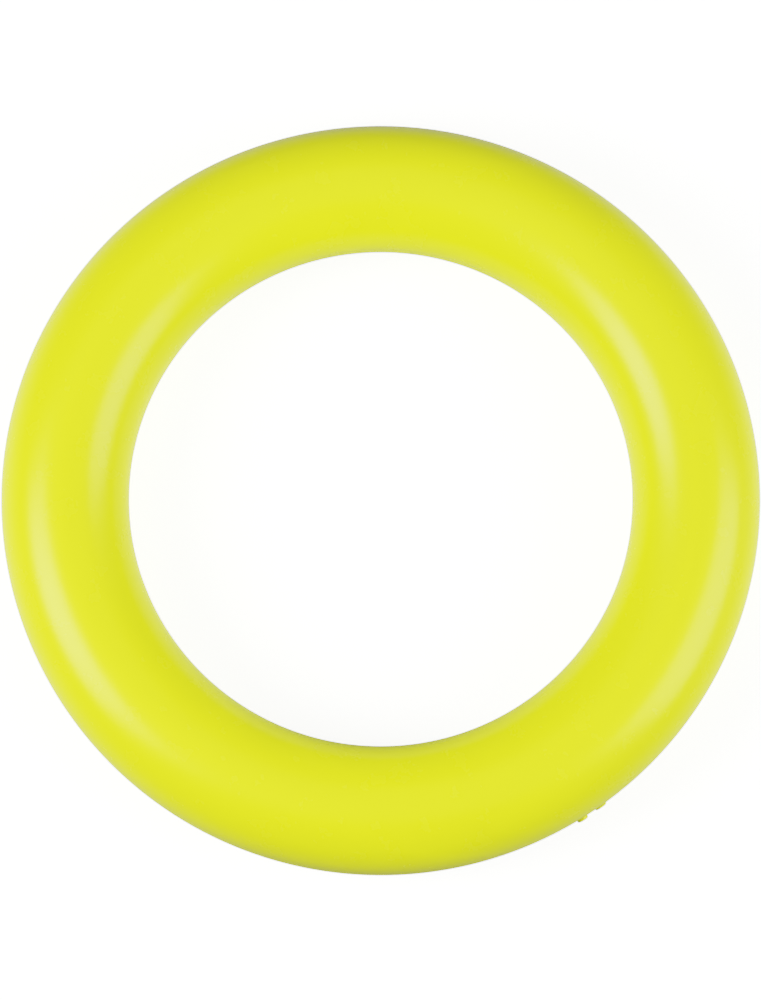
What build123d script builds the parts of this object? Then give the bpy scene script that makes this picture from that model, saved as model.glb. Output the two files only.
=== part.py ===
from build123d import *

import math
import os

# Life ring: a round ring of round section, lying flat. Millimetres.
# The origin is the ring's centre and +Z is its axis, pointing out of the front face.
# In a section, the first coordinate is the distance from the ring's axis and the second is height.

# The ring's two driving sizes
ring_outer_diameter = 750.0
tube_diameter = 126.0

# Moulded polyethylene skin, in two half shells
wall = 2.5
rim_thickness = 9.0  # each shell thickens inward to this beside the seams
rim_height = 7.0  # from the seam to where the thick rim starts to taper
seam_land_width = 8.0  # narrow cylinder that trimming leaves along each seam

# Weld groove along each seam, and the strand that fills it
weld_depth = 2.6
weld_width = 3.0

# Tongue on the front shell, groove in the back shell
tongue_setback = 5.5  # from the outside of the seam to the tongue's middle
tongue_width = 2.4
tongue_depth = 4.0
tongue_side_gap = 0.15
tongue_end_gap = 0.3

# Crescent ribs inside each shell
rib_count = 8
rib_thickness = 3.0
rib_depth = 12.0
rib_foot_gap = 4.0  # from the seam to where a rib starts
rib_first_angle = 22.5

# Filling holes in the back shell, just behind the outer seam
plug_pair_angle = -57.0  # middle of the pair round the ring, from +X towards +Y
plug_spacing = 21.6  # along the rim
plug_tilt = -12.0  # the holes' axes slope this far behind the seam plane
boss_diameter = 19.0
boss_height = 6.0  # past the wall's inner side
spotface_diameter = 13.0
spotface_depth = 0.7

filler_hole_diameter = 8.0
filler_head_diameter = 11.6
filler_head_height = 2.7
vent_hole_diameter = 6.5
vent_head_diameter = 12.4
vent_head_height = 1.6
crown_share = 0.6  # of a head's height that its rounded edge takes

shank_gap = 0.15  # radial, between a plug's core and its hole
barb_gap = 0.02  # radial, between a plug's barbs and its hole
barb_count = 3
shank_end_gap = 0.5  # from the end of a shank to the inner end of its hole

seal_thickness = 0.8
seal_hole_gap = 0.1  # radial, round the shank
seal_edge_gap = 0.4  # radial, inside the spotface

# Sizes that follow
outer_radius = ring_outer_diameter / 2
tube_radius = tube_diameter / 2
pitch_radius = outer_radius - tube_radius
cavity_radius = tube_radius - wall
land_flat = tube_radius - math.sqrt(tube_radius**2 - (seam_land_width / 2) ** 2)
land_reach = tube_radius - land_flat  # from the tube's centre to either seam's outside
rib_step = 360.0 / rib_count
plug_half_spread = math.degrees(plug_spacing / 2 / outer_radius)

OUTSIDE = 1  # the seam round the ring's outside
INSIDE = -1  # the seam round the ring's opening
FRONT = 1
BACK = -1


def across(side, depth):
    """Distance from the ring's axis of a point this deep behind one seam's outside."""
    return pitch_radius + side * (land_reach - depth)


def outline(points):
    """Flat face in the section plane, through the points."""
    return make_face(Polyline(*points, close=True))


def half_plane(face):
    """The part of the section on one side of the seam."""
    return Pos(pitch_radius, face * tube_radius) * Rectangle(4 * tube_radius, 2 * tube_radius)


def disc(radius):
    """A disc about the tube's centre."""
    return Pos(pitch_radius, 0) * Circle(radius)


def tube_section():
    """The whole tube, with its two trimmed seam lands."""
    between_lands = Pos(pitch_radius, 0) * Rectangle(2 * land_reach, 3 * tube_radius)
    return disc(tube_radius) & between_lands


def rim_section(side):
    """The thick rim beside one seam, running out past the skin."""
    taper = rim_thickness
    inner = across(side, rim_thickness)
    tapered = across(side, 0)
    beyond = across(side, -tube_radius)
    top = rim_height + taper
    return outline(
        [
            (inner, -rim_height),
            (inner, rim_height),
            (tapered, top),
            (beyond, top),
            (beyond, -top),
            (tapered, -top),
        ]
    )


def cavity_section():
    """The space inside both shells, which the foam fills."""
    return disc(cavity_radius) - rim_section(OUTSIDE) - rim_section(INSIDE)


def weld_section(side):
    """The triangular groove along one seam, open to the outside."""
    half = weld_width / 2
    return outline([(across(side, 0), half), (across(side, weld_depth), 0), (across(side, 0), -half)])


def tongue_section(side, side_gap=0.0, end_gap=0.0):
    """The tongue, or with gaps its groove, below one seam."""
    width = tongue_width + 2 * side_gap
    depth = tongue_depth + end_gap
    return Pos(across(side, tongue_setback), -depth / 2) * Rectangle(width, depth)


def spun(section):
    """A section turned once round the ring's axis."""
    return revolve(Plane.XZ * section, axis=Axis.Z)


def rib(face, angle):
    """One crescent rib, rooted in the skin of one shell."""
    root = disc(cavity_radius + wall / 2) - disc(cavity_radius - rib_depth)
    clear = Pos(0, face * rib_foot_gap) * half_plane(face)
    plate = extrude(Plane.XZ * (root & clear), amount=rib_thickness / 2, both=True)
    return Rot(0, 0, angle) * plate


def ribs(face):
    """All the ribs of one shell."""
    return [rib(face, rib_first_angle + i * rib_step) for i in range(rib_count)]


def plug_frame(angle):
    """Frame of a filling hole: its origin on the spotface, its Z out of the ring."""
    seat = Pos(pitch_radius, 0, 0) * Rot(0, 90 - plug_tilt, 0)
    return Rot(0, 0, angle) * seat * Pos(0, 0, tube_radius - spotface_depth)


def hole_length():
    """From the spotface to the inner end of the boss."""
    return wall - spotface_depth + boss_height


def boss(angle):
    """The solid boss round one filling hole, rooted in the skin."""
    length = hole_length() - (wall - spotface_depth) / 2
    return plug_frame(angle) * Pos(0, 0, -hole_length() + length / 2) * Cylinder(boss_diameter / 2, length)


def boring(angle, hole_diameter):
    """What the drill and the spotfacer take away at one filling hole."""
    run_out = tube_radius - cavity_radius
    hole = Pos(0, 0, -hole_length() / 2) * Cylinder(hole_diameter / 2, hole_length() + run_out)
    face = Pos(0, 0, spotface_depth) * Cylinder(spotface_diameter / 2, 2 * spotface_depth)
    return plug_frame(angle) * (hole + face)


def plug(angle, hole_diameter, head_diameter, head_height):
    """A push-in plug: rounded head over the seal, and a barbed shank."""
    head = Pos(0, 0, seal_thickness + head_height / 2) * Cylinder(head_diameter / 2, head_height)
    crown = head.edges().group_by(Axis.Z)[-1]
    body = fillet(crown, crown_share * head_height)

    depth = hole_length() - shank_end_gap
    core_radius = hole_diameter / 2 - shank_gap
    core_length = depth + seal_thickness
    body += Pos(0, 0, seal_thickness - core_length / 2) * Cylinder(core_radius, core_length)

    pitch = depth / (barb_count + 1)
    barb_radius = hole_diameter / 2 - barb_gap
    barb = Cone(core_radius, barb_radius, pitch / 2)
    body += [Pos(0, 0, -pitch * (i + 1)) * barb for i in range(barb_count)]
    return plug_frame(angle) * body


def seal(angle, hole_diameter):
    """The flat washer between a plug's head and the spotface."""
    outer = spotface_diameter / 2 - seal_edge_gap
    inner = hole_diameter / 2 + seal_hole_gap
    ring = Cylinder(outer, seal_thickness) - Cylinder(inner, seal_thickness)
    return plug_frame(angle) * Pos(0, 0, seal_thickness / 2) * ring


def grooves():
    """What the tongues need to drop into the back shell."""
    return [spun(tongue_section(side, tongue_side_gap, tongue_end_gap)) for side in (OUTSIDE, INSIDE)]


def skin_section(face):
    """One half shell before its tongues or grooves."""
    skin = (tube_section() - cavity_section()) & half_plane(face)
    return skin - weld_section(OUTSIDE) - weld_section(INSIDE)


def front_shell():
    """Front half of the skin, with a tongue beside each seam."""
    section = skin_section(FRONT) + tongue_section(OUTSIDE) + tongue_section(INSIDE)
    return spun(section) + ribs(FRONT)


def back_shell():
    """Back half of the skin, with a groove beside each seam and the two filling holes."""
    shell = spun(skin_section(BACK)) + ribs(BACK) + [boss(filler_angle), boss(vent_angle)]
    shell -= grooves()
    return shell - boring(filler_angle, filler_hole_diameter) - boring(vent_angle, vent_hole_diameter)


def foam_core():
    """The foam, moulded round the ribs and bosses."""
    core = spun(cavity_section())
    return core - ribs(FRONT) - ribs(BACK) - [boss(filler_angle), boss(vent_angle)]


filler_angle = plug_pair_angle - plug_half_spread
vent_angle = plug_pair_angle + plug_half_spread

NODES = {
    "front_shell": front_shell(),
    "back_shell": back_shell(),
    "foam_core": foam_core(),
    "outer_weld_strand": spun(weld_section(OUTSIDE)),
    "inner_weld_strand": spun(weld_section(INSIDE)),
    "filler_plug": plug(filler_angle, filler_hole_diameter, filler_head_diameter, filler_head_height),
    "vent_plug": plug(vent_angle, vent_hole_diameter, vent_head_diameter, vent_head_height),
    "filler_plug_seal": seal(filler_angle, filler_hole_diameter),
    "vent_plug_seal": seal(vent_angle, vent_hole_diameter),
}

os.makedirs("parts", exist_ok=True)
for node, shape in NODES.items():
    export_step(shape, f"parts/{node}.step")
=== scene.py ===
"""Looks of a plain welded life ring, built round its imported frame.

Everything is in metres. The ring lies flat with its centre at the origin and +Z out of its front face.
"""

import logging
import math
from dataclasses import dataclass
from enum import Enum

import bmesh
import bpy
from mathutils import Euler, Matrix, Vector


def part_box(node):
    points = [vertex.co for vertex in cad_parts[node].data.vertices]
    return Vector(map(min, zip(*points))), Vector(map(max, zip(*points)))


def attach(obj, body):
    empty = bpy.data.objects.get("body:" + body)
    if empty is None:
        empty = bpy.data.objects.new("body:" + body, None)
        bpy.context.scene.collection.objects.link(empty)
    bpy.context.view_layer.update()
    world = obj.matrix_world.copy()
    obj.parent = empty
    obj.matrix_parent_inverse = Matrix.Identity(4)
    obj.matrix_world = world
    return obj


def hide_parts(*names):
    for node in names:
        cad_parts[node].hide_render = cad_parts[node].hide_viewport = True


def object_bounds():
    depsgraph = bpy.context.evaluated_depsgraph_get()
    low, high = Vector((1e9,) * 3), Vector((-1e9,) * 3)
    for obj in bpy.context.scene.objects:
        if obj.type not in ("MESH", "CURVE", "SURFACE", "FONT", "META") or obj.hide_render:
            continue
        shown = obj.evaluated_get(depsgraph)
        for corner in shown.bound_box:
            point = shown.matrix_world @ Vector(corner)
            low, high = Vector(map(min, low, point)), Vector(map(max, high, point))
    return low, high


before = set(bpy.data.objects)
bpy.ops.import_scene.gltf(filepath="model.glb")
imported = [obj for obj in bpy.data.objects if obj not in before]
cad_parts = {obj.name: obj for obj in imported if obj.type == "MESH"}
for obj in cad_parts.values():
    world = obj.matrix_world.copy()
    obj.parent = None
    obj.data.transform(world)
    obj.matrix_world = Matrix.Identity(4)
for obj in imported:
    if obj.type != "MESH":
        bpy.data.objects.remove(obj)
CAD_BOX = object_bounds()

LOG = logging.getLogger("life_ring")

MM = 0.001
FULL_TURN = 2 * math.pi
QUARTER_TURN = math.pi / 2
BODY = "root"
AXIS = Vector((0, 0, 1))  # of the ring, and of every piece that is turned
MERGE_DISTANCE = 0.002 * MM
PROFILE_GAP = 0.05 * MM  # more than a faceted arc's end misses its true place by


class Face(Enum):
    """The two halves of the ring's skin."""

    FRONT = 1
    BACK = -1


class Seam(Enum):
    """The two welds: round the outside, and round the opening."""

    OUTER = 1
    INNER = -1


# ---------------------------------------------------------------- modelling by hand


class Bench:
    """The modelling bench: short names for the edit-mode operators that the pieces are shaped with."""

    @staticmethod
    def clear() -> None:
        """Leave edit mode and deselect everything."""
        if bpy.context.mode != "OBJECT":
            bpy.ops.object.mode_set(mode="OBJECT")
        bpy.ops.object.select_all(action="DESELECT")

    @staticmethod
    def pick(piece: bpy.types.Object) -> None:
        """Select one object alone and make it active.

        Args:
            piece: the object.
        """
        Bench.clear()
        piece.select_set(True)
        bpy.context.view_layer.objects.active = piece

    @staticmethod
    def edit(piece: bpy.types.Object) -> None:
        """Open one object in edit mode, with vertices selectable and none selected.

        Args:
            piece: the object.
        """
        Bench.pick(piece)
        bpy.ops.object.mode_set(mode="EDIT")
        bpy.ops.mesh.select_mode(type="VERT")
        bpy.ops.mesh.select_all(action="DESELECT")

    @staticmethod
    def cut_away(at: Vector, beyond: Vector) -> None:
        """Cut all of the mesh in edit mode with a plane.

        Args:
            at: a point on the plane.
            beyond: the plane's normal, towards the side that is thrown away.
        """
        bpy.ops.mesh.select_all(action="SELECT")
        bpy.ops.mesh.bisect(
            plane_co=at, plane_no=beyond, clear_outer=True, threshold=MERGE_DISTANCE
        )

    @staticmethod
    def pick_vertex(piece: bpy.types.Object, near: Vector) -> Vector:
        """Select the vertex of the open mesh that is nearest to a point.

        Args:
            piece: the object in edit mode.
            near: the point.

        Returns:
            The vertex's place.
        """
        mesh = bmesh.from_edit_mesh(piece.data)
        for vertex in mesh.verts:
            vertex.select = False
        found = min(mesh.verts, key=lambda vertex: (vertex.co - near).length)
        found.select = True
        mesh.select_flush(True)
        bmesh.update_edit_mesh(piece.data)
        return found.co.copy()

    @staticmethod
    def draw_from(piece: bpy.types.Object, start: Vector, points: list[Vector]) -> None:
        """Extrude a chain of edges in the open mesh.

        Args:
            piece: the object in edit mode.
            start: the chain starts from the vertex nearest to this.
            points: the chain's points after that.
        """
        here = Bench.pick_vertex(piece, start)
        for point in points:
            bpy.ops.mesh.extrude_region_move(TRANSFORM_OT_translate={"value": point - here})
            here = point

    @staticmethod
    def weld_points(within: float = MERGE_DISTANCE) -> None:
        """Merge the open mesh's doubled vertices.

        Args:
            within: how far apart they may lie.
        """
        bpy.ops.mesh.select_all(action="SELECT")
        bpy.ops.mesh.remove_doubles(threshold=within)

    @staticmethod
    def spin(steps: int) -> None:
        """Turn the open mesh's profile once round the axis, and close it.

        Args:
            steps: how many facets go round.
        """
        bpy.ops.mesh.select_all(action="SELECT")
        bpy.ops.mesh.spin(steps=steps, angle=FULL_TURN, center=(0, 0, 0), axis=AXIS)
        Bench.weld_points()
        bpy.ops.mesh.normals_make_consistent(inside=False)

    @staticmethod
    def turned(name: str, outline: list[Vector], steps: int) -> bpy.types.Object:
        """Turn a piece from its outline, drawn from a single vertex as a chain of edges.

        Args:
            name: the new object's name.
            outline: the outline's points, which end where they began or on the axis at both ends.
            steps: how many facets go round.

        Returns:
            The new closed piece.
        """
        Bench.clear()
        bpy.ops.mesh.primitive_plane_add(size=1)
        made = bpy.context.object
        made.name = name
        made.data.name = name
        Bench.edit(made)
        bpy.ops.mesh.select_all(action="SELECT")
        bpy.ops.mesh.merge(type="CENTER")
        bpy.ops.transform.translate(value=outline[0])
        Bench.draw_from(made, outline[0], outline[1:])
        Bench.weld_points()
        Bench.spin(steps)
        Bench.clear()
        return made

    @staticmethod
    def dress(piece: bpy.types.Object, material: bpy.types.Material, crease: float) -> None:
        """Give a piece its material, and shade it smooth.

        Args:
            piece: the piece.
            material: its material.
            crease: edges sharper than this angle stay sharp.
        """
        piece.data.materials.append(material)
        Bench.pick(piece)
        bpy.ops.object.shade_smooth_by_angle(angle=crease)

    @staticmethod
    def settle(piece: bpy.types.Object) -> None:
        """Put a piece's place into its mesh, so that the object sits unturned at the origin."""
        Bench.pick(piece)
        bpy.ops.object.transform_apply(location=True, rotation=True, scale=True)

    @staticmethod
    def place(piece: bpy.types.Object, where: Matrix) -> None:
        """Move a piece's mesh by a matrix."""
        piece.data.transform(where)
        piece.data.update()

    @staticmethod
    def carve(piece: bpy.types.Object, tool: bpy.types.Object, operation: str) -> None:
        """Combine a piece with a tool body, which is then thrown away.

        Args:
            piece: the piece that changes.
            tool: a closed mesh.
            operation: DIFFERENCE or UNION.
        """
        Bench.pick(piece)
        cut = piece.modifiers.new("carve", "BOOLEAN")
        cut.operation = operation
        cut.solver = "EXACT"
        cut.object = tool
        bpy.ops.object.modifier_apply(modifier=cut.name)
        bpy.data.objects.remove(tool)
        Bench.edit(piece)
        bpy.ops.mesh.select_all(action="SELECT")
        bpy.ops.mesh.dissolve_degenerate(threshold=MERGE_DISTANCE)
        Bench.clear()

    @staticmethod
    def join(pieces: list[bpy.types.Object], name: str) -> bpy.types.Object:
        """Join pieces into one object, and name it.

        Args:
            pieces: the pieces, of which the first takes in the others.
            name: the object's new name.

        Returns:
            The joined object.
        """
        Bench.clear()
        for piece in pieces:
            piece.select_set(True)
        bpy.context.view_layer.objects.active = pieces[0]
        if len(pieces) > 1:
            bpy.ops.object.join()
        pieces[0].name = name
        pieces[0].data.name = name
        return pieces[0]


# ---------------------------------------------------------------- shader expressions


class Sock:
    """A shader value that takes part in Python arithmetic by adding Math nodes."""

    def __init__(self, graph: "Graph", socket: bpy.types.NodeSocket) -> None:
        """Wrap a node's output socket."""
        self.graph = graph
        self.socket = socket

    def __add__(self, other: "Sock | float") -> "Sock":
        """Sum."""
        return self.graph.math("ADD", self, other)

    __radd__ = __add__

    def __mul__(self, other: "Sock | float") -> "Sock":
        """Product."""
        return self.graph.math("MULTIPLY", self, other)

    __rmul__ = __mul__

    def __sub__(self, other: "Sock | float") -> "Sock":
        """Difference."""
        return self.graph.math("SUBTRACT", self, other)

    def __rsub__(self, other: "Sock | float") -> "Sock":
        """Difference, with the wrapped value taken away."""
        return self.graph.math("SUBTRACT", other, self)

    def __truediv__(self, other: "Sock | float") -> "Sock":
        """Quotient."""
        return self.graph.math("DIVIDE", self, other)

    def __pow__(self, other: "Sock | float") -> "Sock":
        """Power."""
        return self.graph.math("POWER", self, other)


class Graph:
    """One material's node tree."""

    lean: tuple[float, float] = (0.3, 0.2)  # tips hairlines, so that they cross every surface

    def __init__(self, name: str) -> None:
        """Start an empty material with an output.

        Args:
            name: the material's name.
        """
        self.material = bpy.data.materials.new(name)
        self.material.use_nodes = True
        self.tree = self.material.node_tree
        self.tree.nodes.clear()
        self.output = self.tree.nodes.new("ShaderNodeOutputMaterial")

    def node(self, kind: str, settings: dict, out: str | int, **inputs: object) -> Sock:
        """Add a node.

        Args:
            kind: the node's type.
            settings: its properties, set before its sockets.
            out: the name or number of the output that is wanted.
            **inputs: values or links for its sockets, named in lower case with underscores.

        Returns:
            The wanted output.
        """
        made = self.tree.nodes.new(kind)
        for key, value in settings.items():
            setattr(made, key, value)
        by_name = {}
        for socket in made.inputs:
            if socket.enabled:
                by_name.setdefault(socket.name.lower().replace(" ", "_"), socket)
        for key, value in inputs.items():
            self.feed(by_name[key], value)
        return Sock(self, made.outputs[out])

    def feed(self, socket: bpy.types.NodeSocket, value: object) -> None:
        """Link or set one input socket.

        Args:
            socket: the input.
            value: another node's output, or a plain value.
        """
        if isinstance(value, Sock):
            self.tree.links.new(value.socket, socket)
        else:
            socket.default_value = value

    def math(self, operation: str, first: Sock | float, second: Sock | float) -> Sock:
        """Add a Math node.

        Args:
            operation: its operation.
            first: its first value.
            second: its second value.

        Returns:
            The result.
        """
        made = self.tree.nodes.new("ShaderNodeMath")
        made.operation = operation
        self.feed(made.inputs[0], first)
        self.feed(made.inputs[1], second)
        return Sock(self, made.outputs[0])

    def place(self) -> Sock:
        """The point on the surface, in metres in the ring's frame."""
        return self.node("ShaderNodeTexCoord", {}, "Object")

    def axis(self, name: str) -> Sock:
        """One coordinate of the point on the surface, X, Y or Z, in metres."""
        return self.node("ShaderNodeSeparateXYZ", {}, name, vector=self.place())

    def hairlines(self, turn: float, length: float, width: float) -> Sock:
        """Noise drawn out into hairlines.

        Args:
            turn: the angle about Z that they run at.
            length: how long they are, in metres.
            width: how far apart they are, in metres.

        Returns:
            The noise, from 0 to 1.
        """
        stretched = self.node(
            "ShaderNodeMapping",
            {"vector_type": "TEXTURE"},
            0,
            vector=self.place(),
            rotation=Euler((*self.lean, turn)),
            scale=Vector((length, width, width)),
        )
        return self.node(
            "ShaderNodeTexNoise", {}, 0, vector=stretched, scale=1.0, detail=2.0, roughness=0.5
        )

    def noise(self, size: float, detail: float = 2.0, rough: float = 0.5) -> Sock:
        """Soft noise from 0 to 1.

        Args:
            size: how far apart its lumps are, in metres.
            detail: how many finer layers it has.
            rough: how strong those are.

        Returns:
            The noise.
        """
        return self.node(
            "ShaderNodeTexNoise", {}, 0, vector=self.place(), scale=1 / size, detail=detail, roughness=rough
        )

    def cells(self, size: float) -> Sock:
        """Distance to the middles of scattered cells of a size in metres."""
        return self.node("ShaderNodeTexVoronoi", {}, "Distance", vector=self.place(), scale=1 / size)

    def band(self, value: Sock, low: float, high: float) -> Sock:
        """Turn a value into a mask with a smooth step.

        Args:
            value: the value.
            low: where the mask is 0.
            high: where it is 1, which may be the lower of the two.

        Returns:
            The mask.
        """
        return self.node(
            "ShaderNodeMapRange",
            {"interpolation_type": "SMOOTHSTEP"},
            0,
            value=value,
            from_min=low,
            from_max=high,
            to_min=0.0,
            to_max=1.0,
        )

    def blend(self, share: Sock | float, first: object, second: object) -> Sock:
        """Mix two colours.

        Args:
            share: how much of the second there is.
            first: the first colour.
            second: the second colour.

        Returns:
            The mixed colour.
        """
        made = self.tree.nodes.new("ShaderNodeMix")
        made.data_type = "RGBA"
        self.feed(made.inputs["Factor"], share)
        colours = [socket for socket in made.inputs if socket.type == "RGBA"]
        self.feed(colours[0], first)
        self.feed(colours[1], second)
        return Sock(self, next(socket for socket in made.outputs if socket.type == "RGBA"))

    def clouded(self, share: Sock, colour: tuple[float, float, float], shades: tuple[float, float]) -> Sock:
        """Cloud a colour.

        Args:
            share: where the clouds are.
            colour: the colour.
            shades: the darkest and the lightest cloud, against the colour.

        Returns:
            The clouded colour.
        """
        return self.blend(share, scaled(colour, shades[0]), scaled(colour, shades[1]))

    def bump(self, height: Sock, distance: float, strength: float, under: Sock | None = None) -> Sock:
        """Tilt the surface by a height.

        Args:
            height: the height, from 0 to 1.
            distance: what a height of 1 stands for, in metres.
            strength: how much of the bump shows.
            under: a bump that this one lies on.

        Returns:
            The new normal.
        """
        more = {} if under is None else {"normal": under}
        return self.node("ShaderNodeBump", {}, 0, height=height, distance=distance, strength=strength, **more)

    def finish(self, **inputs: object) -> bpy.types.Material:
        """Feed a Principled surface and connect it.

        Args:
            **inputs: values or links for its sockets, as for a node.

        Returns:
            The finished material.
        """
        surface = self.node("ShaderNodeBsdfPrincipled", {}, 0, **inputs)
        self.tree.links.new(surface.socket, self.output.inputs["Surface"])
        return self.material


def opaque(colour: tuple[float, float, float]) -> tuple[float, float, float, float]:
    """A colour with full alpha."""
    return (*colour, 1.0)


def grey(level: float) -> tuple[float, float, float, float]:
    """A grey with full alpha."""
    return opaque((level, level, level))


def scaled(colour: tuple[float, float, float], share: float) -> tuple[float, float, float, float]:
    """A darker or lighter version of a colour, with full alpha."""
    return opaque(tuple(min(1.0, part * share) for part in colour))


# ---------------------------------------------------------------- finishes


@dataclass(frozen=True)
class GlossyShell:
    """Fluorescent yellow-green polyethylene, as it leaves a polished mould."""

    name: str = "glossy_shell"
    colour: tuple[float, float, float] = (0.915, 0.975, 0.0074)
    rubbed_colour: tuple[float, float, float] = (0.93, 0.94, 0.20)
    gloss_level: float = 0.33
    shades: tuple[float, float] = (0.985, 1.015)
    roughness: float = 0.25
    unevenness: float = 0.04  # what the dullest patches add to it
    rubbed_roughness: float = 0.18
    rubbed_pale: float = 0.3  # how far rubbed patches turn to the rubbed colour
    hair_roughness: float = 0.2
    hair_pale: float = 0.4
    hairs_under: float = 0.8  # how strong the hairlines are under the ring
    hairs_beside: float = 0.3  # and beside the seams
    rubbed_height: float = -59.5 * MM  # the back is rubbed below this, where the ring lies on floors
    resting_height: float = -62.8 * MM
    handled_height: float = 14.0 * MM  # hairlines from handling fade out this far from the seam
    seam_height: float = 3.0 * MM
    cloud_size: float = 300 * MM  # how evenly the pigment is spread
    flow_size: float = 30 * MM  # patches in the gloss
    swell_size: float = 22 * MM  # shallow waves that the mould left
    swell_depth: float = 0.22 * MM
    peel_size: float = 4 * MM
    peel_share: float = 0.4  # of the swell's depth
    hair_depth: float = 0.012 * MM
    grain_size: float = 0.6 * MM
    grain_share: float = 0.35  # of a hairline's depth

    def hairs(self, graph: Graph) -> Sock:
        """Draw two sets of crossing hairlines.

        Args:
            graph: the shell's graph.

        Returns:
            Their mask.
        """
        fine = graph.hairlines(turn=0.7, length=26 * MM, width=0.35 * MM)
        coarse = graph.hairlines(turn=-0.9, length=18 * MM, width=0.5 * MM)
        crossing = graph.band(coarse, low=0.68, high=0.76)
        return graph.math("MAXIMUM", graph.band(fine, low=0.66, high=0.74), crossing)

    def material(self) -> bpy.types.Material:
        """Build the shell's material.

        Returns:
            Clouded plastic with shallow waves, rubbed under the ring and scratched beside the seams.
        """
        graph = Graph(self.name)
        pigment = graph.noise(self.cloud_size, detail=3.0)
        flow = graph.noise(self.flow_size, detail=4.0, rough=0.6)
        swell = graph.noise(self.swell_size, detail=1.0)
        peel = graph.noise(self.peel_size, detail=1.5)
        grain = graph.noise(self.grain_size, detail=2.0)
        hairs = self.hairs(graph)

        height = graph.axis("Z")
        rests = graph.band(height, self.rubbed_height, self.resting_height)
        handled = graph.band(graph.math("ABSOLUTE", height, 0.0), self.handled_height, self.seam_height)
        rubbed = rests * graph.band(flow, low=0.40, high=0.62)
        worn = hairs * (rests * self.hairs_under + handled * self.hairs_beside)

        body = graph.clouded(pigment, self.colour, self.shades)
        pale = rubbed * self.rubbed_pale + hairs * rests * self.hair_pale
        dulled = graph.blend(pale, body, opaque(self.rubbed_colour))
        smooth = self.roughness + flow * self.unevenness
        roughness = smooth + worn * self.hair_roughness + rubbed * self.rubbed_roughness
        waves = graph.bump(peel * self.peel_share + swell, self.swell_depth, strength=0.5)
        surface = graph.bump(grain * self.grain_share - worn, self.hair_depth, strength=0.5, under=waves)
        return graph.finish(
            base_color=dulled,
            roughness=roughness,
            specular_ior_level=self.gloss_level,
            normal=surface,
        )


@dataclass(frozen=True)
class TrimmedWeld:
    """The same plastic, melted into the seam and trimmed flush with a blade."""

    name: str = "trimmed_weld"
    colour: tuple[float, float, float] = (0.80, 0.84, 0.011)
    gloss_level: float = 0.33
    shades: tuple[float, float] = (0.96, 1.03)
    roughness: float = 0.34
    unevenness: float = 0.1
    melt_size: float = 12 * MM  # slow ripples along the strand
    melt_depth: float = 0.35 * MM
    chatter_size: float = 1.6 * MM  # marks of the trimming blade
    chatter_depth: float = 0.07 * MM

    def material(self) -> bpy.types.Material:
        """Build the weld strands' material.

        Returns:
            Plastic with slow ripples under the blade's marks.
        """
        graph = Graph(self.name)
        melt = graph.noise(self.melt_size, detail=3.0)
        chatter = graph.noise(self.chatter_size, detail=3.0, rough=0.6)
        body = graph.clouded(melt, self.colour, self.shades)
        roughness = self.roughness + chatter * self.unevenness
        ripples = graph.bump(melt, self.melt_depth, strength=0.7)
        surface = graph.bump(chatter, self.chatter_depth, strength=0.7, under=ripples)
        return graph.finish(
            base_color=body, roughness=roughness, specular_ior_level=self.gloss_level, normal=surface
        )


@dataclass(frozen=True)
class PlugPlastic:
    """Moulded plugs of the shell's plastic, a little duller and fingered."""

    name: str = "plug_plastic"
    colour: tuple[float, float, float] = (0.90, 0.93, 0.0095)
    gloss_level: float = 0.33
    shades: tuple[float, float] = (0.97, 1.02)
    roughness: float = 0.29
    unevenness: float = 0.06
    cloud_size: float = 4 * MM
    grain_size: float = 0.5 * MM
    grain_depth: float = 0.01 * MM

    def material(self) -> bpy.types.Material:
        """Build the plugs' material.

        Returns:
            Plastic with a fine grain and an uneven gloss.
        """
        graph = Graph(self.name)
        cloud = graph.noise(self.cloud_size, detail=3.0)
        grain = graph.noise(self.grain_size, detail=2.0)
        body = graph.clouded(cloud, self.colour, self.shades)
        roughness = self.roughness + cloud * self.unevenness
        surface = graph.bump(grain, self.grain_depth, strength=0.4)
        return graph.finish(
            base_color=body, roughness=roughness, specular_ior_level=self.gloss_level, normal=surface
        )


@dataclass(frozen=True)
class SealRubber:
    """Soft matte washers in a duller yellow-green."""

    name: str = "seal_rubber"
    colour: tuple[float, float, float] = (0.60, 0.62, 0.05)
    shades: tuple[float, float] = (0.9, 1.08)
    roughness: float = 0.56
    unevenness: float = 0.12
    bloom_size: float = 2.5 * MM  # pale patches on old rubber
    grain_size: float = 0.3 * MM
    grain_depth: float = 0.02 * MM

    def material(self) -> bpy.types.Material:
        """Build the seals' material.

        Returns:
            Matte rubber with pale patches and a grain.
        """
        graph = Graph(self.name)
        bloom = graph.noise(self.bloom_size, detail=4.0, rough=0.6)
        grain = graph.noise(self.grain_size, detail=2.0)
        body = graph.clouded(bloom, self.colour, self.shades)
        roughness = self.roughness + bloom * self.unevenness
        surface = graph.bump(grain, self.grain_depth, strength=0.5)
        return graph.finish(base_color=body, roughness=roughness, normal=surface)


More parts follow.
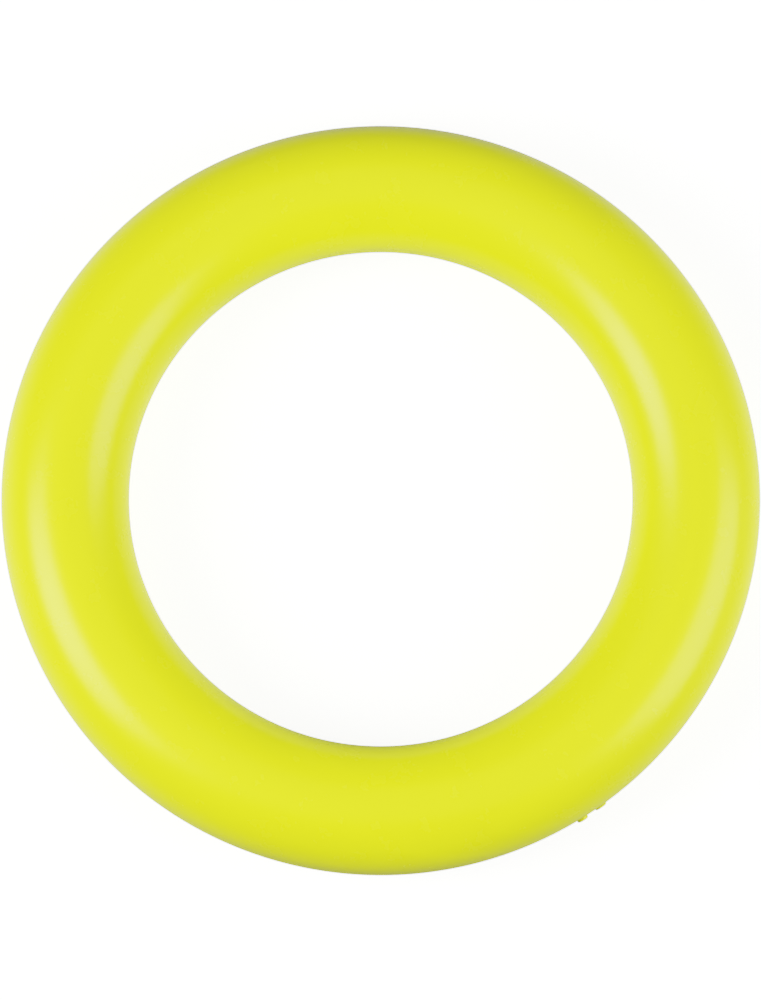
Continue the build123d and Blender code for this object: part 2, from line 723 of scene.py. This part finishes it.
@dataclass(frozen=True)
class CoreFoam:
    """Closed-cell polyurethane foam: a cream skin over small bubbles, with denser clouds."""

    name: str = "core_foam"
    colour: tuple[float, float, float] = (0.83, 0.72, 0.46)
    shades: tuple[float, float] = (0.88, 1.06)
    # painted shade: how dark a burst bubble's pit is drawn
    painted_pit_shade: float = 0.55
    painted_pit_share: float = 0.7  # how far a pit turns to that painted shade
    roughness: float = 0.88
    unevenness: float = 0.06
    cloud_size: float = 60 * MM
    bubble_size: float = 1.4 * MM
    bubble_depth: float = 0.5 * MM
    void_spacing: float = 7 * MM  # between burst bubbles
    void_depth: float = 0.9 * MM

    def material(self) -> bpy.types.Material:
        """Build the foam core's material.

        Returns:
            Clouded foam, bumpy with bubbles, with painted shade darkening each pit where one has burst.
        """
        graph = Graph(self.name)
        clouds = graph.noise(self.cloud_size, detail=4.0)
        bubbles = graph.cells(self.bubble_size)
        voids = graph.band(graph.cells(self.void_spacing), low=0.16, high=0.06)
        body = graph.clouded(clouds, self.colour, self.shades)
        # darkening the pits is painted shade, not the foam's own colour
        painted_pits = graph.blend(voids * self.painted_pit_share, body, scaled(self.colour, self.painted_pit_shade))
        skin = graph.bump(bubbles, self.bubble_depth, strength=0.6)
        surface = graph.bump(1 - voids, self.void_depth, strength=0.7, under=skin)
        roughness = self.roughness + clouds * self.unevenness
        return graph.finish(base_color=painted_pits, roughness=roughness, normal=surface)


# ---------------------------------------------------------------- the ring's sizes


@dataclass(frozen=True)
class Section:
    """The round section that both shells share. A place in it is x from the ring's axis, and z."""

    tube_radius: float
    land_radius: float  # the outer seam land's own radius about the ring's axis
    wall: float = 2.5 * MM
    rim_thickness: float = 9.0 * MM
    rim_height: float = 7.0 * MM
    land_width: float = 8.0 * MM
    weld_depth: float = 2.6 * MM
    weld_width: float = 3.0 * MM
    tongue_setback: float = 5.5 * MM
    tongue_width: float = 2.4 * MM
    tongue_depth: float = 4.0 * MM
    tongue_side_gap: float = 0.15 * MM
    tongue_end_gap: float = 0.3 * MM
    section_points: int = 144
    turn_steps: int = 360

    @classmethod
    def from_frame(cls) -> "Section":
        """Read the tube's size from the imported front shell."""
        _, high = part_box("front_shell")
        return cls(tube_radius=high.z, land_radius=high.x)

    @property
    def land_reach(self) -> float:
        """From the tube's centre to either seam's outside."""
        return math.sqrt(self.tube_radius**2 - (self.land_width / 2) ** 2)

    @property
    def pitch_radius(self) -> float:
        """From the ring's axis to the tube's centre."""
        return self.land_radius - self.land_reach

    @property
    def cavity_radius(self) -> float:
        """Inside radius of the skin."""
        return self.tube_radius - self.wall

    def across(self, seam: Seam, depth: float) -> float:
        """Distance from the ring's axis of a point this deep behind a seam's outside."""
        return self.pitch_radius + seam.value * (self.land_reach - depth)

    def at(self, seam: Seam, depth: float, height: float) -> Vector:
        """A point this deep behind a seam's outside and this high."""
        return Vector((self.across(seam, depth), 0, height))

    def arc(self, radius: float, name: str) -> bpy.types.Object:
        """A circle about the tube's centre, open in edit mode.

        Args:
            radius: the circle's radius.
            name: the new object's name.

        Returns:
            The new object.
        """
        Bench.clear()
        bpy.ops.mesh.primitive_circle_add(
            vertices=self.section_points,
            radius=radius,
            location=(self.pitch_radius, 0, 0),
            rotation=(QUARTER_TURN, 0, 0),
        )
        made = bpy.context.object
        made.name = name
        Bench.settle(made)
        Bench.edit(made)
        return made


# ---------------------------------------------------------------- pieces


@dataclass
class Ribs:
    """Crescent ribs inside one half of the skin."""

    section: Section
    face: Face
    count: int = 8
    thickness: float = 3.0 * MM
    depth: float = 12.0 * MM
    foot_gap: float = 4.0 * MM
    first_angle: float = math.radians(22.5)
    root: float = 1.2 * MM  # how far a rib is rooted in the skin

    def build(self) -> list[bpy.types.Object]:
        """Model one rib and copy it round the ring.

        Returns:
            The ribs, each with its own mesh.
        """
        sizes = self.section
        outer = sizes.arc(sizes.cavity_radius + self.root, "rib_root")
        foot = Vector((0, 0, self.face.value * self.foot_gap))
        Bench.cut_away(foot, Vector((0, 0, -self.face.value)))
        bpy.ops.mesh.select_all(action="SELECT")
        inward = (sizes.cavity_radius - self.depth) / (sizes.cavity_radius + self.root)
        bpy.ops.mesh.extrude_region()
        bpy.ops.transform.resize(
            value=(inward, 1, inward), center_override=(sizes.pitch_radius, 0, foot.z)
        )
        bpy.ops.mesh.select_all(action="SELECT")
        bpy.ops.mesh.extrude_region_move(TRANSFORM_OT_translate={"value": (0, self.thickness, 0)})
        bpy.ops.mesh.select_all(action="SELECT")
        bpy.ops.transform.translate(value=(0, -self.thickness / 2, 0))
        bpy.ops.mesh.normals_make_consistent(inside=False)
        Bench.clear()
        ribs = []
        for turn in range(self.count):
            rib = outer.copy()
            rib.data = outer.data.copy()
            bpy.context.collection.objects.link(rib)
            Bench.place(rib, Matrix.Rotation(self.first_angle + turn * FULL_TURN / self.count, 4, "Z"))
            ribs.append(rib)
        bpy.data.objects.remove(outer)
        return ribs


@dataclass
class PlugHole:
    """A filling hole in the back shell, and the frame that its plug and seal stand in."""

    section: Section
    node: str
    hole_radius: float
    head_radius: float
    head_height: float
    spotface_radius: float = 6.5 * MM
    spotface_depth: float = 0.7 * MM
    spotface_chamfer: float = 0.25 * MM
    mouth: float = 0.504 * MM  # from the spotface to the top of its chamfer
    boss_radius: float = 9.5 * MM
    boss_height: float = 6.0 * MM
    boss_rounding: float = 0.8 * MM
    shank_gap: float = 0.15 * MM
    barb_gap: float = 0.02 * MM
    barb_count: int = 3
    shank_end_gap: float = 0.5 * MM
    seal_thickness: float = 0.8 * MM
    seal_edge_gap: float = 0.4 * MM
    seal_hole_gap: float = 0.1 * MM
    tilt: float = math.radians(-12.0)
    round_steps: int = 64

    def seat(self) -> Matrix:
        """The hole's frame: its origin on the spotface and its Z out of the ring.

        Returns:
            The frame, turned to where the CAD plug is.
        """
        low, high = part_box(self.node)
        middle = (low + high) / 2
        turn = math.atan2(middle.y, middle.x)
        place = Matrix.Translation((self.section.pitch_radius, 0, 0))
        lean = Matrix.Rotation(QUARTER_TURN - self.tilt, 4, "Y")
        lift = Matrix.Translation((0, 0, self.section.tube_radius - self.spotface_depth))
        return Matrix.Rotation(turn, 4, "Z") @ place @ lean @ lift

    @property
    def depth(self) -> float:
        """From the spotface to the inner end of the boss."""
        return self.section.wall - self.spotface_depth + self.boss_height

    def seated(self, name: str, outline: list[tuple[float, float]]) -> bpy.types.Object:
        """Turn a shape about the hole's axis.

        Args:
            name: the new object's name.
            outline: points as distance from the hole's axis and height over the spotface.

        Returns:
            The new closed piece, in its place in the ring.
        """
        points = [Vector((radius, 0, height)) for radius, height in outline]
        made = Bench.turned(name, points, self.round_steps)
        Bench.place(made, self.seat())
        return made

    def borer(self) -> bpy.types.Object:
        """The drill and spotfacer in one, with a small chamfer at the mouth.

        Returns:
            The body that the shell loses.
        """
        reach = 3 * self.spotface_depth
        flare = self.spotface_radius + self.spotface_chamfer
        outline = [
            (0, -2 * self.depth),
            (self.hole_radius, -2 * self.depth),
            (self.hole_radius, 0),
            (self.spotface_radius, 0),
            (self.spotface_radius, self.mouth - self.spotface_chamfer),
            (flare, self.mouth),
            (flare + reach, self.mouth + reach),
            (0, self.mouth + reach),
        ]
        return self.seated("borer", outline)

    def boss(self) -> bpy.types.Object:
        """The solid boss round the hole, rooted in the skin.

        Returns:
            The boss.
        """
        top = -(self.section.wall - self.spotface_depth) / 2
        outline = [
            (0, -self.depth),
            (self.boss_radius - self.boss_rounding, -self.depth),
            (self.boss_radius, -self.depth + self.boss_rounding),
            (self.boss_radius, top),
            (0, top),
        ]
        return self.seated("boss", outline)


@dataclass
class HalfShell:
    """One moulded half of the skin, thickened beside the seams, with its ribs."""

    section: Section
    face: Face
    finish: GlossyShell
    holes: list[PlugHole]
    node: str
    crease: float = math.radians(28)

    def seam_points(self, seam: Seam) -> list[Vector]:
        """The seam's profile, from the land on the outside to the rim's taper on the inside.

        Args:
            seam: which seam.

        Returns:
            The corners in order.
        """
        sizes = self.section
        side = self.face.value
        gap = 0.0 if self.face is Face.FRONT else sizes.tongue_side_gap
        drop = sizes.tongue_depth + (0.0 if self.face is Face.FRONT else sizes.tongue_end_gap)
        near = sizes.tongue_setback - sizes.tongue_width / 2 - gap
        far = sizes.tongue_setback + sizes.tongue_width / 2 + gap
        half_weld = side * sizes.weld_width / 2
        return [
            sizes.at(seam, 0, half_weld),
            sizes.at(seam, sizes.weld_depth, 0),
            sizes.at(seam, near, 0),
            sizes.at(seam, near, -drop),
            sizes.at(seam, far, -drop),
            sizes.at(seam, far, 0),
            sizes.at(seam, sizes.rim_thickness, 0),
            sizes.at(seam, sizes.rim_thickness, side * sizes.rim_height),
        ]

    def arc(self, radius: float, depth: float, height: float, slope: int) -> bpy.types.Object:
        """Half a circle about the tube's centre, cut off beside both seams.

        Args:
            radius: the circle's radius.
            depth: how deep behind each seam's outside the cut starts.
            height: how high over the seams it starts.
            slope: how steeply it leans in towards the seams, 0 for an upright cut.

        Returns:
            The arc.
        """
        made = self.section.arc(radius, self.node + "_made")
        Bench.cut_away(Vector((0, 0, 0)), Vector((0, 0, -self.face.value)))
        for seam in Seam:
            start = self.section.at(seam, depth, self.face.value * height)
            Bench.cut_away(start, Vector((seam.value, 0, -self.face.value * slope)))
        Bench.clear()
        return made

    def taper_end(self, seam: Seam) -> Vector:
        """Where a rim's 45 degree taper meets the inside of the skin.

        Args:
            seam: the rim's seam.

        Returns:
            The point.
        """
        sizes = self.section
        start = sizes.land_reach - sizes.rim_thickness
        drop = start - sizes.rim_height
        reach = (drop + math.sqrt(2 * sizes.cavity_radius**2 - drop**2)) / 2
        height = self.face.value * (reach - drop)
        return Vector((sizes.pitch_radius + seam.value * reach, 0, height))

    def build(self) -> bpy.types.Object:
        """Model the shell.

        Returns:
            The finished piece, dressed and riding on the body.
        """
        sizes = self.section
        half_land = sizes.land_width / 2 * self.face.value
        cavity = self.arc(sizes.cavity_radius, sizes.rim_thickness, sizes.rim_height, slope=1)
        skin = self.arc(sizes.tube_radius, 0, 0, slope=0)
        shell = Bench.join([skin, cavity], self.node + "_made")
        Bench.edit(shell)
        for seam in Seam:
            corners = self.seam_points(seam)
            Bench.draw_from(shell, sizes.at(seam, 0, half_land), [*corners, self.taper_end(seam)])
        Bench.weld_points(PROFILE_GAP)
        Bench.spin(sizes.turn_steps)
        Bench.clear()
        inside = [*Ribs(sizes, self.face).build(), *(hole.boss() for hole in self.holes)]
        Bench.carve(shell, Bench.join(inside, self.node + "_inside"), "UNION")
        if self.holes:
            borers = Bench.join([hole.borer() for hole in self.holes], self.node + "_borers")
            Bench.carve(shell, borers, "DIFFERENCE")
        Bench.dress(shell, self.finish.material(), self.crease)
        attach(shell, BODY)
        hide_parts(self.node)
        return shell


@dataclass
class WeldStrand:
    """The strand melted into one seam's groove, trimmed flush."""

    section: Section
    seam: Seam
    finish: TrimmedWeld
    node: str
    sink: float = 0.22 * MM  # the trimmed face lies this far below the lands at its edges
    middle_sink: float = 0.11 * MM  # and this far along its middle
    edge: float = 0.35 * MM  # rounding beside each shell's edge
    crease: float = math.radians(40)

    def build(self) -> bpy.types.Object:
        """Model the strand.

        Returns:
            The finished piece, dressed and riding on the body.
        """
        sizes = self.section
        half = sizes.weld_width / 2
        outline = [
            sizes.at(self.seam, self.sink + self.edge, half - self.edge / 2),
            sizes.at(self.seam, self.sink, half - self.edge),
            sizes.at(self.seam, self.middle_sink, 0),
            sizes.at(self.seam, self.sink, self.edge - half),
            sizes.at(self.seam, self.sink + self.edge, self.edge / 2 - half),
            sizes.at(self.seam, sizes.weld_depth, 0),
        ]
        strand = Bench.turned(self.node + "_made", [*outline, outline[0]], sizes.turn_steps)
        Bench.dress(strand, self.finish.material(), self.crease)
        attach(strand, BODY)
        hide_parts(self.node)
        return strand


@dataclass
class Plug:
    """A push-in plug: a rounded head over the seal, a barbed shank, and a dimple where it was gated."""

    hole: PlugHole
    finish: PlugPlastic
    dimple_radius: float = 1.1 * MM
    dimple_floor: float = 0.77 * MM  # radius of the dimple's flat floor
    dimple_depth: float = 0.35 * MM
    crown_share: float = 0.6  # of the head's height that its rounded edge takes
    crown_steps: int = 7
    crease: float = math.radians(35)

    def head(self) -> list[tuple[float, float]]:
        """The head's half outline, from the dimple down to its underside.

        Returns:
            Its points, as distance from the plug's axis and height over the spotface.
        """
        top = self.hole.seal_thickness + self.hole.head_height
        crown = self.crown_share * self.hole.head_height
        points = [
            (0, top - self.dimple_depth),
            (self.dimple_floor, top - self.dimple_depth),
            (self.dimple_radius, top),
        ]
        for step in range(self.crown_steps + 1):
            angle = QUARTER_TURN * step / self.crown_steps
            radius = self.hole.head_radius - crown + crown * math.sin(angle)
            points.append((radius, top - crown + crown * math.cos(angle)))
        points.append((self.hole.head_radius, self.hole.seal_thickness))
        return points

    def shank(self) -> list[tuple[float, float]]:
        """The shank's half outline, from the head's underside down to its end, with its barbs.

        Returns:
            Its points, as distance from the plug's axis and height over the spotface.
        """
        depth = self.hole.depth - self.hole.shank_end_gap
        core = self.hole.hole_radius - self.hole.shank_gap
        barb = self.hole.hole_radius - self.hole.barb_gap
        pitch = depth / (self.hole.barb_count + 1)
        points = [(core, self.hole.seal_thickness)]
        for number in range(self.hole.barb_count):
            middle = -pitch * (number + 1)
            points.append((core, middle + pitch / 4))
            points.append((barb, middle + pitch / 4))
            points.append((core, middle - pitch / 4))
        points.append((core, -depth))
        points.append((0, -depth))
        return points

    def build(self) -> bpy.types.Object:
        """Model the plug.

        Returns:
            The finished piece, dressed and riding on the body.
        """
        plug = self.hole.seated(self.hole.node + "_made", [*self.head(), *self.shank()])
        Bench.dress(plug, self.finish.material(), self.crease)
        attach(plug, BODY)
        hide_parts(self.hole.node)
        return plug


@dataclass
class Seal:
    """The washer under a plug's head, its rim bulging a little where it is squeezed."""

    hole: PlugHole
    finish: SealRubber
    bulge: float = 0.12 * MM
    edge_steps: int = 6
    crease: float = math.radians(50)

    def build(self) -> bpy.types.Object:
        """Model the seal.

        Returns:
            The finished piece, dressed and riding on the body.
        """
        node = self.hole.node + "_seal"
        inner = self.hole.hole_radius + self.hole.seal_hole_gap
        outer = self.hole.spotface_radius - self.hole.seal_edge_gap
        thickness = self.hole.seal_thickness
        outline = [(inner, 0)]
        for step in range(self.edge_steps + 1):
            share = step / self.edge_steps
            radius = outer - self.bulge + self.bulge * math.sin(math.pi * share)
            outline.append((radius, thickness * share))
        outline.append((inner, thickness))
        seal = self.hole.seated(node + "_made", [*outline, outline[0]])
        Bench.dress(seal, self.finish.material(), self.crease)
        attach(seal, BODY)
        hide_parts(node)
        return seal


@dataclass
class FoamCore:
    """The foam, whose CAD shape is right and only needs its finish."""

    finish: CoreFoam
    node: str = "foam_core"

    def dress(self) -> bpy.types.Object:
        """Give the CAD node its material.

        Returns:
            The node.
        """
        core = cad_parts[self.node]
        core.data.materials.clear()
        core.data.materials.append(self.finish.material())
        return core


# ---------------------------------------------------------------- studio


@dataclass(frozen=True)
class SoftBox:
    """A rectangular light that faces the ring.

    Its direction is given from the ring: the angle round from +X towards +Y, and the angle up.
    """

    name: str
    around: float
    up: float
    width: float
    height: float
    radiance: float
    distance: float = 4.0

    def build(self) -> bpy.types.Object:
        """Hang the light.

        Returns:
            The light's object.
        """
        light = bpy.data.lights.new(self.name, "AREA")
        light.shape = "RECTANGLE"
        light.size = self.width
        light.size_y = self.height
        light.energy = self.radiance * math.pi * self.width * self.height
        hung = bpy.data.objects.new(self.name, light)
        bpy.context.scene.collection.objects.link(hung)
        flat = Vector((math.cos(self.around), math.sin(self.around), 0))
        out = flat * math.cos(self.up) + Vector((0, 0, math.sin(self.up)))
        hung.location = out * self.distance
        hung.rotation_euler = (-out).to_track_quat("-Z", "Y").to_euler()
        hung.visible_camera = False
        return hung


@dataclass(frozen=True)
class Studio:
    """Pale floor, two soft boxes, dim surroundings and the film's response."""

    floor_height: float
    floor_size: float = 12.0  # from its middle to its edge
    floor_gap: float = 0.1 * MM  # between the floor that lights the ring and the one that is looked at
    seen_glow: float = 2.2
    seen_paper: float = 0.22
    white_start: float = 0.5  # the floor that is looked at turns white from this far off
    white_end: float = 2.0
    lit_paper: float = 0.14
    # the lit floor's glow is painted light: a pool brighter near the ring and towards the boxes, dimmer
    # further off and towards -Y
    lit_glow: float = 0.7
    side_glow: float = 0.36  # painted light: more of it towards the boxes, and less across
    back_glow: float = 0.2  # more of it towards +Y, and less towards -Y
    glow_reach: float = 0.45  # it is bright up to this from the ring's axis
    dim_reach: float = 0.8  # and dim beyond this
    dimming: float = 0.75
    side_dimming: float = 0.25  # less of it towards the boxes, and more across
    dome_radius: float = 28.0
    dome_segments: int = 48
    white: float = 2.6
    surroundings: float = 0.29

    @staticmethod
    def card(graph: Graph, glow: object, paper: float) -> bpy.types.Material:
        """A pale surface that glows a little and takes light as paper does.

        Args:
            graph: the material's graph.
            glow: the colour that it glows with.
            paper: how much of the light on it comes back.

        Returns:
            The material.
        """
        glowing = graph.node("ShaderNodeEmission", {}, 0, color=glow, strength=1.0)
        matt = graph.node("ShaderNodeBsdfDiffuse", {}, 0, color=grey(paper))
        both = graph.tree.nodes.new("ShaderNodeAddShader")
        graph.feed(both.inputs[0], glowing)
        graph.feed(both.inputs[1], matt)
        graph.tree.links.new(both.outputs[0], graph.output.inputs["Surface"])
        return graph.material

    def lay(self, name: str, height: float, card: bpy.types.Material, seen: bool) -> None:
        """Lay one floor surface.

        Args:
            name: the object's name.
            height: how high it lies.
            card: its material.
            seen: whether it is only looked at, or only lights and mirrors the ring.
        """
        Bench.clear()
        bpy.ops.mesh.primitive_plane_add(size=2 * self.floor_size, location=(0, 0, height))
        laid = bpy.context.object
        laid.name = name
        laid.data.materials.append(card)
        self.show(laid, seen)

    @staticmethod
    def show(staged: bpy.types.Object, seen: bool) -> None:
        """Let a surface be either looked at, or met by the light that plays round the ring.

        Args:
            staged: the surface.
            seen: whether it is looked at.
        """
        for rays in ("visible_diffuse", "visible_glossy", "visible_transmission", "visible_shadow"):
            setattr(staged, rays, not seen)
        staged.visible_camera = seen

    @staticmethod
    def from_axis(graph: Graph) -> tuple[Sock, Sock, Sock]:
        """How far a point is from the ring's axis: along X, along Y, and straight."""
        across, along = graph.axis("X"), graph.axis("Y")
        return across, along, (across * across + along * along) ** 0.5

    def lit_floor(self) -> None:
        """Lay the floor that lights the ring: its glow is painted light, brighter near the ring and towards
        the two boxes, where their light would fall.
        """
        graph = Graph("floor_lit")
        across, along, reach = self.from_axis(graph)
        sides = (across * across - along * along) / (reach * reach)
        far_off = graph.band(reach, self.glow_reach, self.dim_reach)
        left = 1 - far_off * (self.dimming - sides * self.side_dimming)
        # painted light pooled on the floor near the ring and towards the boxes
        share = (sides * self.side_glow + along / reach * self.back_glow + self.lit_glow) * left
        glow = graph.blend(share, grey(0.0), grey(1.0))
        self.lay("floor_lit", self.floor_height, self.card(graph, glow, self.lit_paper), seen=False)

    def seen_floor(self) -> None:
        """Lay the floor that is looked at, which turns white further off."""
        graph = Graph("floor_seen")
        _, _, reach = self.from_axis(graph)
        far_off = graph.band(reach, self.white_start, self.white_end)
        glow = graph.blend(far_off, grey(self.seen_glow), grey(self.white))
        card = self.card(graph, glow, self.seen_paper)
        self.lay("floor_seen", self.floor_height + self.floor_gap, card, seen=True)

    def surround(self) -> None:
        """Close the studio with a white dome to look at, and dim grey light from all round."""
        Bench.clear()
        bpy.ops.mesh.primitive_uv_sphere_add(
            segments=self.dome_segments, ring_count=self.dome_segments // 2, radius=self.dome_radius
        )
        dome = bpy.context.object
        dome.name = "dome"
        dome.data.materials.append(self.card(Graph("dome"), grey(self.white), 0.0))
        self.show(dome, seen=True)
        world = bpy.data.worlds.new("surroundings")
        bpy.context.scene.world = world
        world.use_nodes = True
        background = world.node_tree.nodes["Background"]
        background.inputs["Color"].default_value = grey(1.0)
        background.inputs["Strength"].default_value = self.surroundings

    def lights(self) -> None:
        """Hang the soft boxes, a brighter one on the left, each with its brighter upright core."""
        left, left_up = math.radians(190.7), math.radians(39)
        right, right_up = math.radians(-11.5), math.radians(30)
        boxes = (
            SoftBox("left_box", left, left_up, width=2.6, height=2.3, radiance=7.35),
            SoftBox("left_core", left, left_up, width=1.4, height=3.0, radiance=6.25),
            SoftBox("right_box", right, right_up, width=3.0, height=2.7, radiance=6.0),
            SoftBox("right_core", right, right_up, width=1.6, height=3.2, radiance=3.1),
            SoftBox("ceiling", 0.0, QUARTER_TURN, width=5.0, height=5.0, radiance=0.42),
        )
        for box in boxes:
            box.build()

    @staticmethod
    def film() -> None:
        """Set the film: its response bends over towards white, so highlights stay soft."""
        view = bpy.context.scene.view_settings
        view.view_transform = "Standard"
        view.use_curve_mapping = True
        mapping = view.curve_mapping
        brightest = 2.5
        mapping.white_level = (brightest, brightest, brightest)
        mapping.use_clip = True
        all_channels = mapping.curves[3]
        for level in (0.05, 0.12, 0.25, 0.5, 0.8, 1.2, 1.6, 2.0):
            all_channels.points.new(level / brightest, 1 - math.exp(-level))
        mapping.update()

    def build(self) -> None:
        """Set up the floor, surroundings, lights and film."""
        self.lit_floor()
        self.seen_floor()
        self.surround()
        self.lights()
        self.film()


@dataclass(frozen=True)
class Viewpoint:
    """A long lens looking down at the ring, ten degrees off its axis."""

    elevation: float = math.radians(80.11)
    azimuth: float = math.radians(-0.48)
    distance: float = 5.0
    sight: float = 60.0  # how far the camera sees
    field_height: float = 0.9890  # how much the view's long side takes in at the ring
    sensor: float = 36.0
    aim: tuple[float, float, float] = (-0.0003, -0.0034, 0.0)

    def build(self) -> bpy.types.Object:
        """Set the camera.

        Returns:
            The camera's object.
        """
        lens = bpy.data.cameras.new("camera")
        lens.sensor_width = self.sensor
        lens.lens = self.sensor * self.distance / self.field_height
        lens.clip_end = self.sight
        camera = bpy.data.objects.new("camera", lens)
        bpy.context.scene.collection.objects.link(camera)
        level = math.cos(self.elevation)
        back = Vector(
            (math.sin(self.azimuth) * level, -math.cos(self.azimuth) * level, math.sin(self.elevation))
        )
        camera.location = Vector(self.aim) + back * self.distance
        camera.rotation_mode = "QUATERNION"
        camera.rotation_quaternion = (-back).to_track_quat("-Z", "Y")
        bpy.context.scene.camera = camera
        return camera


# ---------------------------------------------------------------- assembly


def main() -> None:
    """Build the studio and every piece in order."""
    logging.basicConfig(level=logging.INFO)
    section = Section.from_frame()
    Viewpoint().build()
    Studio(floor_height=CAD_BOX[0].z).build()

    holes = [
        PlugHole(section, "filler_plug", 4.0 * MM, head_radius=5.8 * MM, head_height=2.7 * MM),
        PlugHole(section, "vent_plug", 3.25 * MM, head_radius=6.2 * MM, head_height=1.6 * MM),
    ]
    shell = GlossyShell()
    weld = TrimmedWeld()
    made = [
        HalfShell(section, Face.FRONT, shell, [], "front_shell").build(),
        HalfShell(section, Face.BACK, shell, holes, "back_shell").build(),
        WeldStrand(section, Seam.OUTER, weld, "outer_weld_strand").build(),
        WeldStrand(section, Seam.INNER, weld, "inner_weld_strand").build(),
        FoamCore(CoreFoam()).dress(),
    ]
    for hole in holes:
        made.append(Plug(hole, PlugPlastic()).build())
        made.append(Seal(hole, SealRubber()).build())
    for piece in made:
        LOG.info("%s: %d vertices", piece.name, len(piece.data.vertices))


if __name__ == "__main__":
    main()
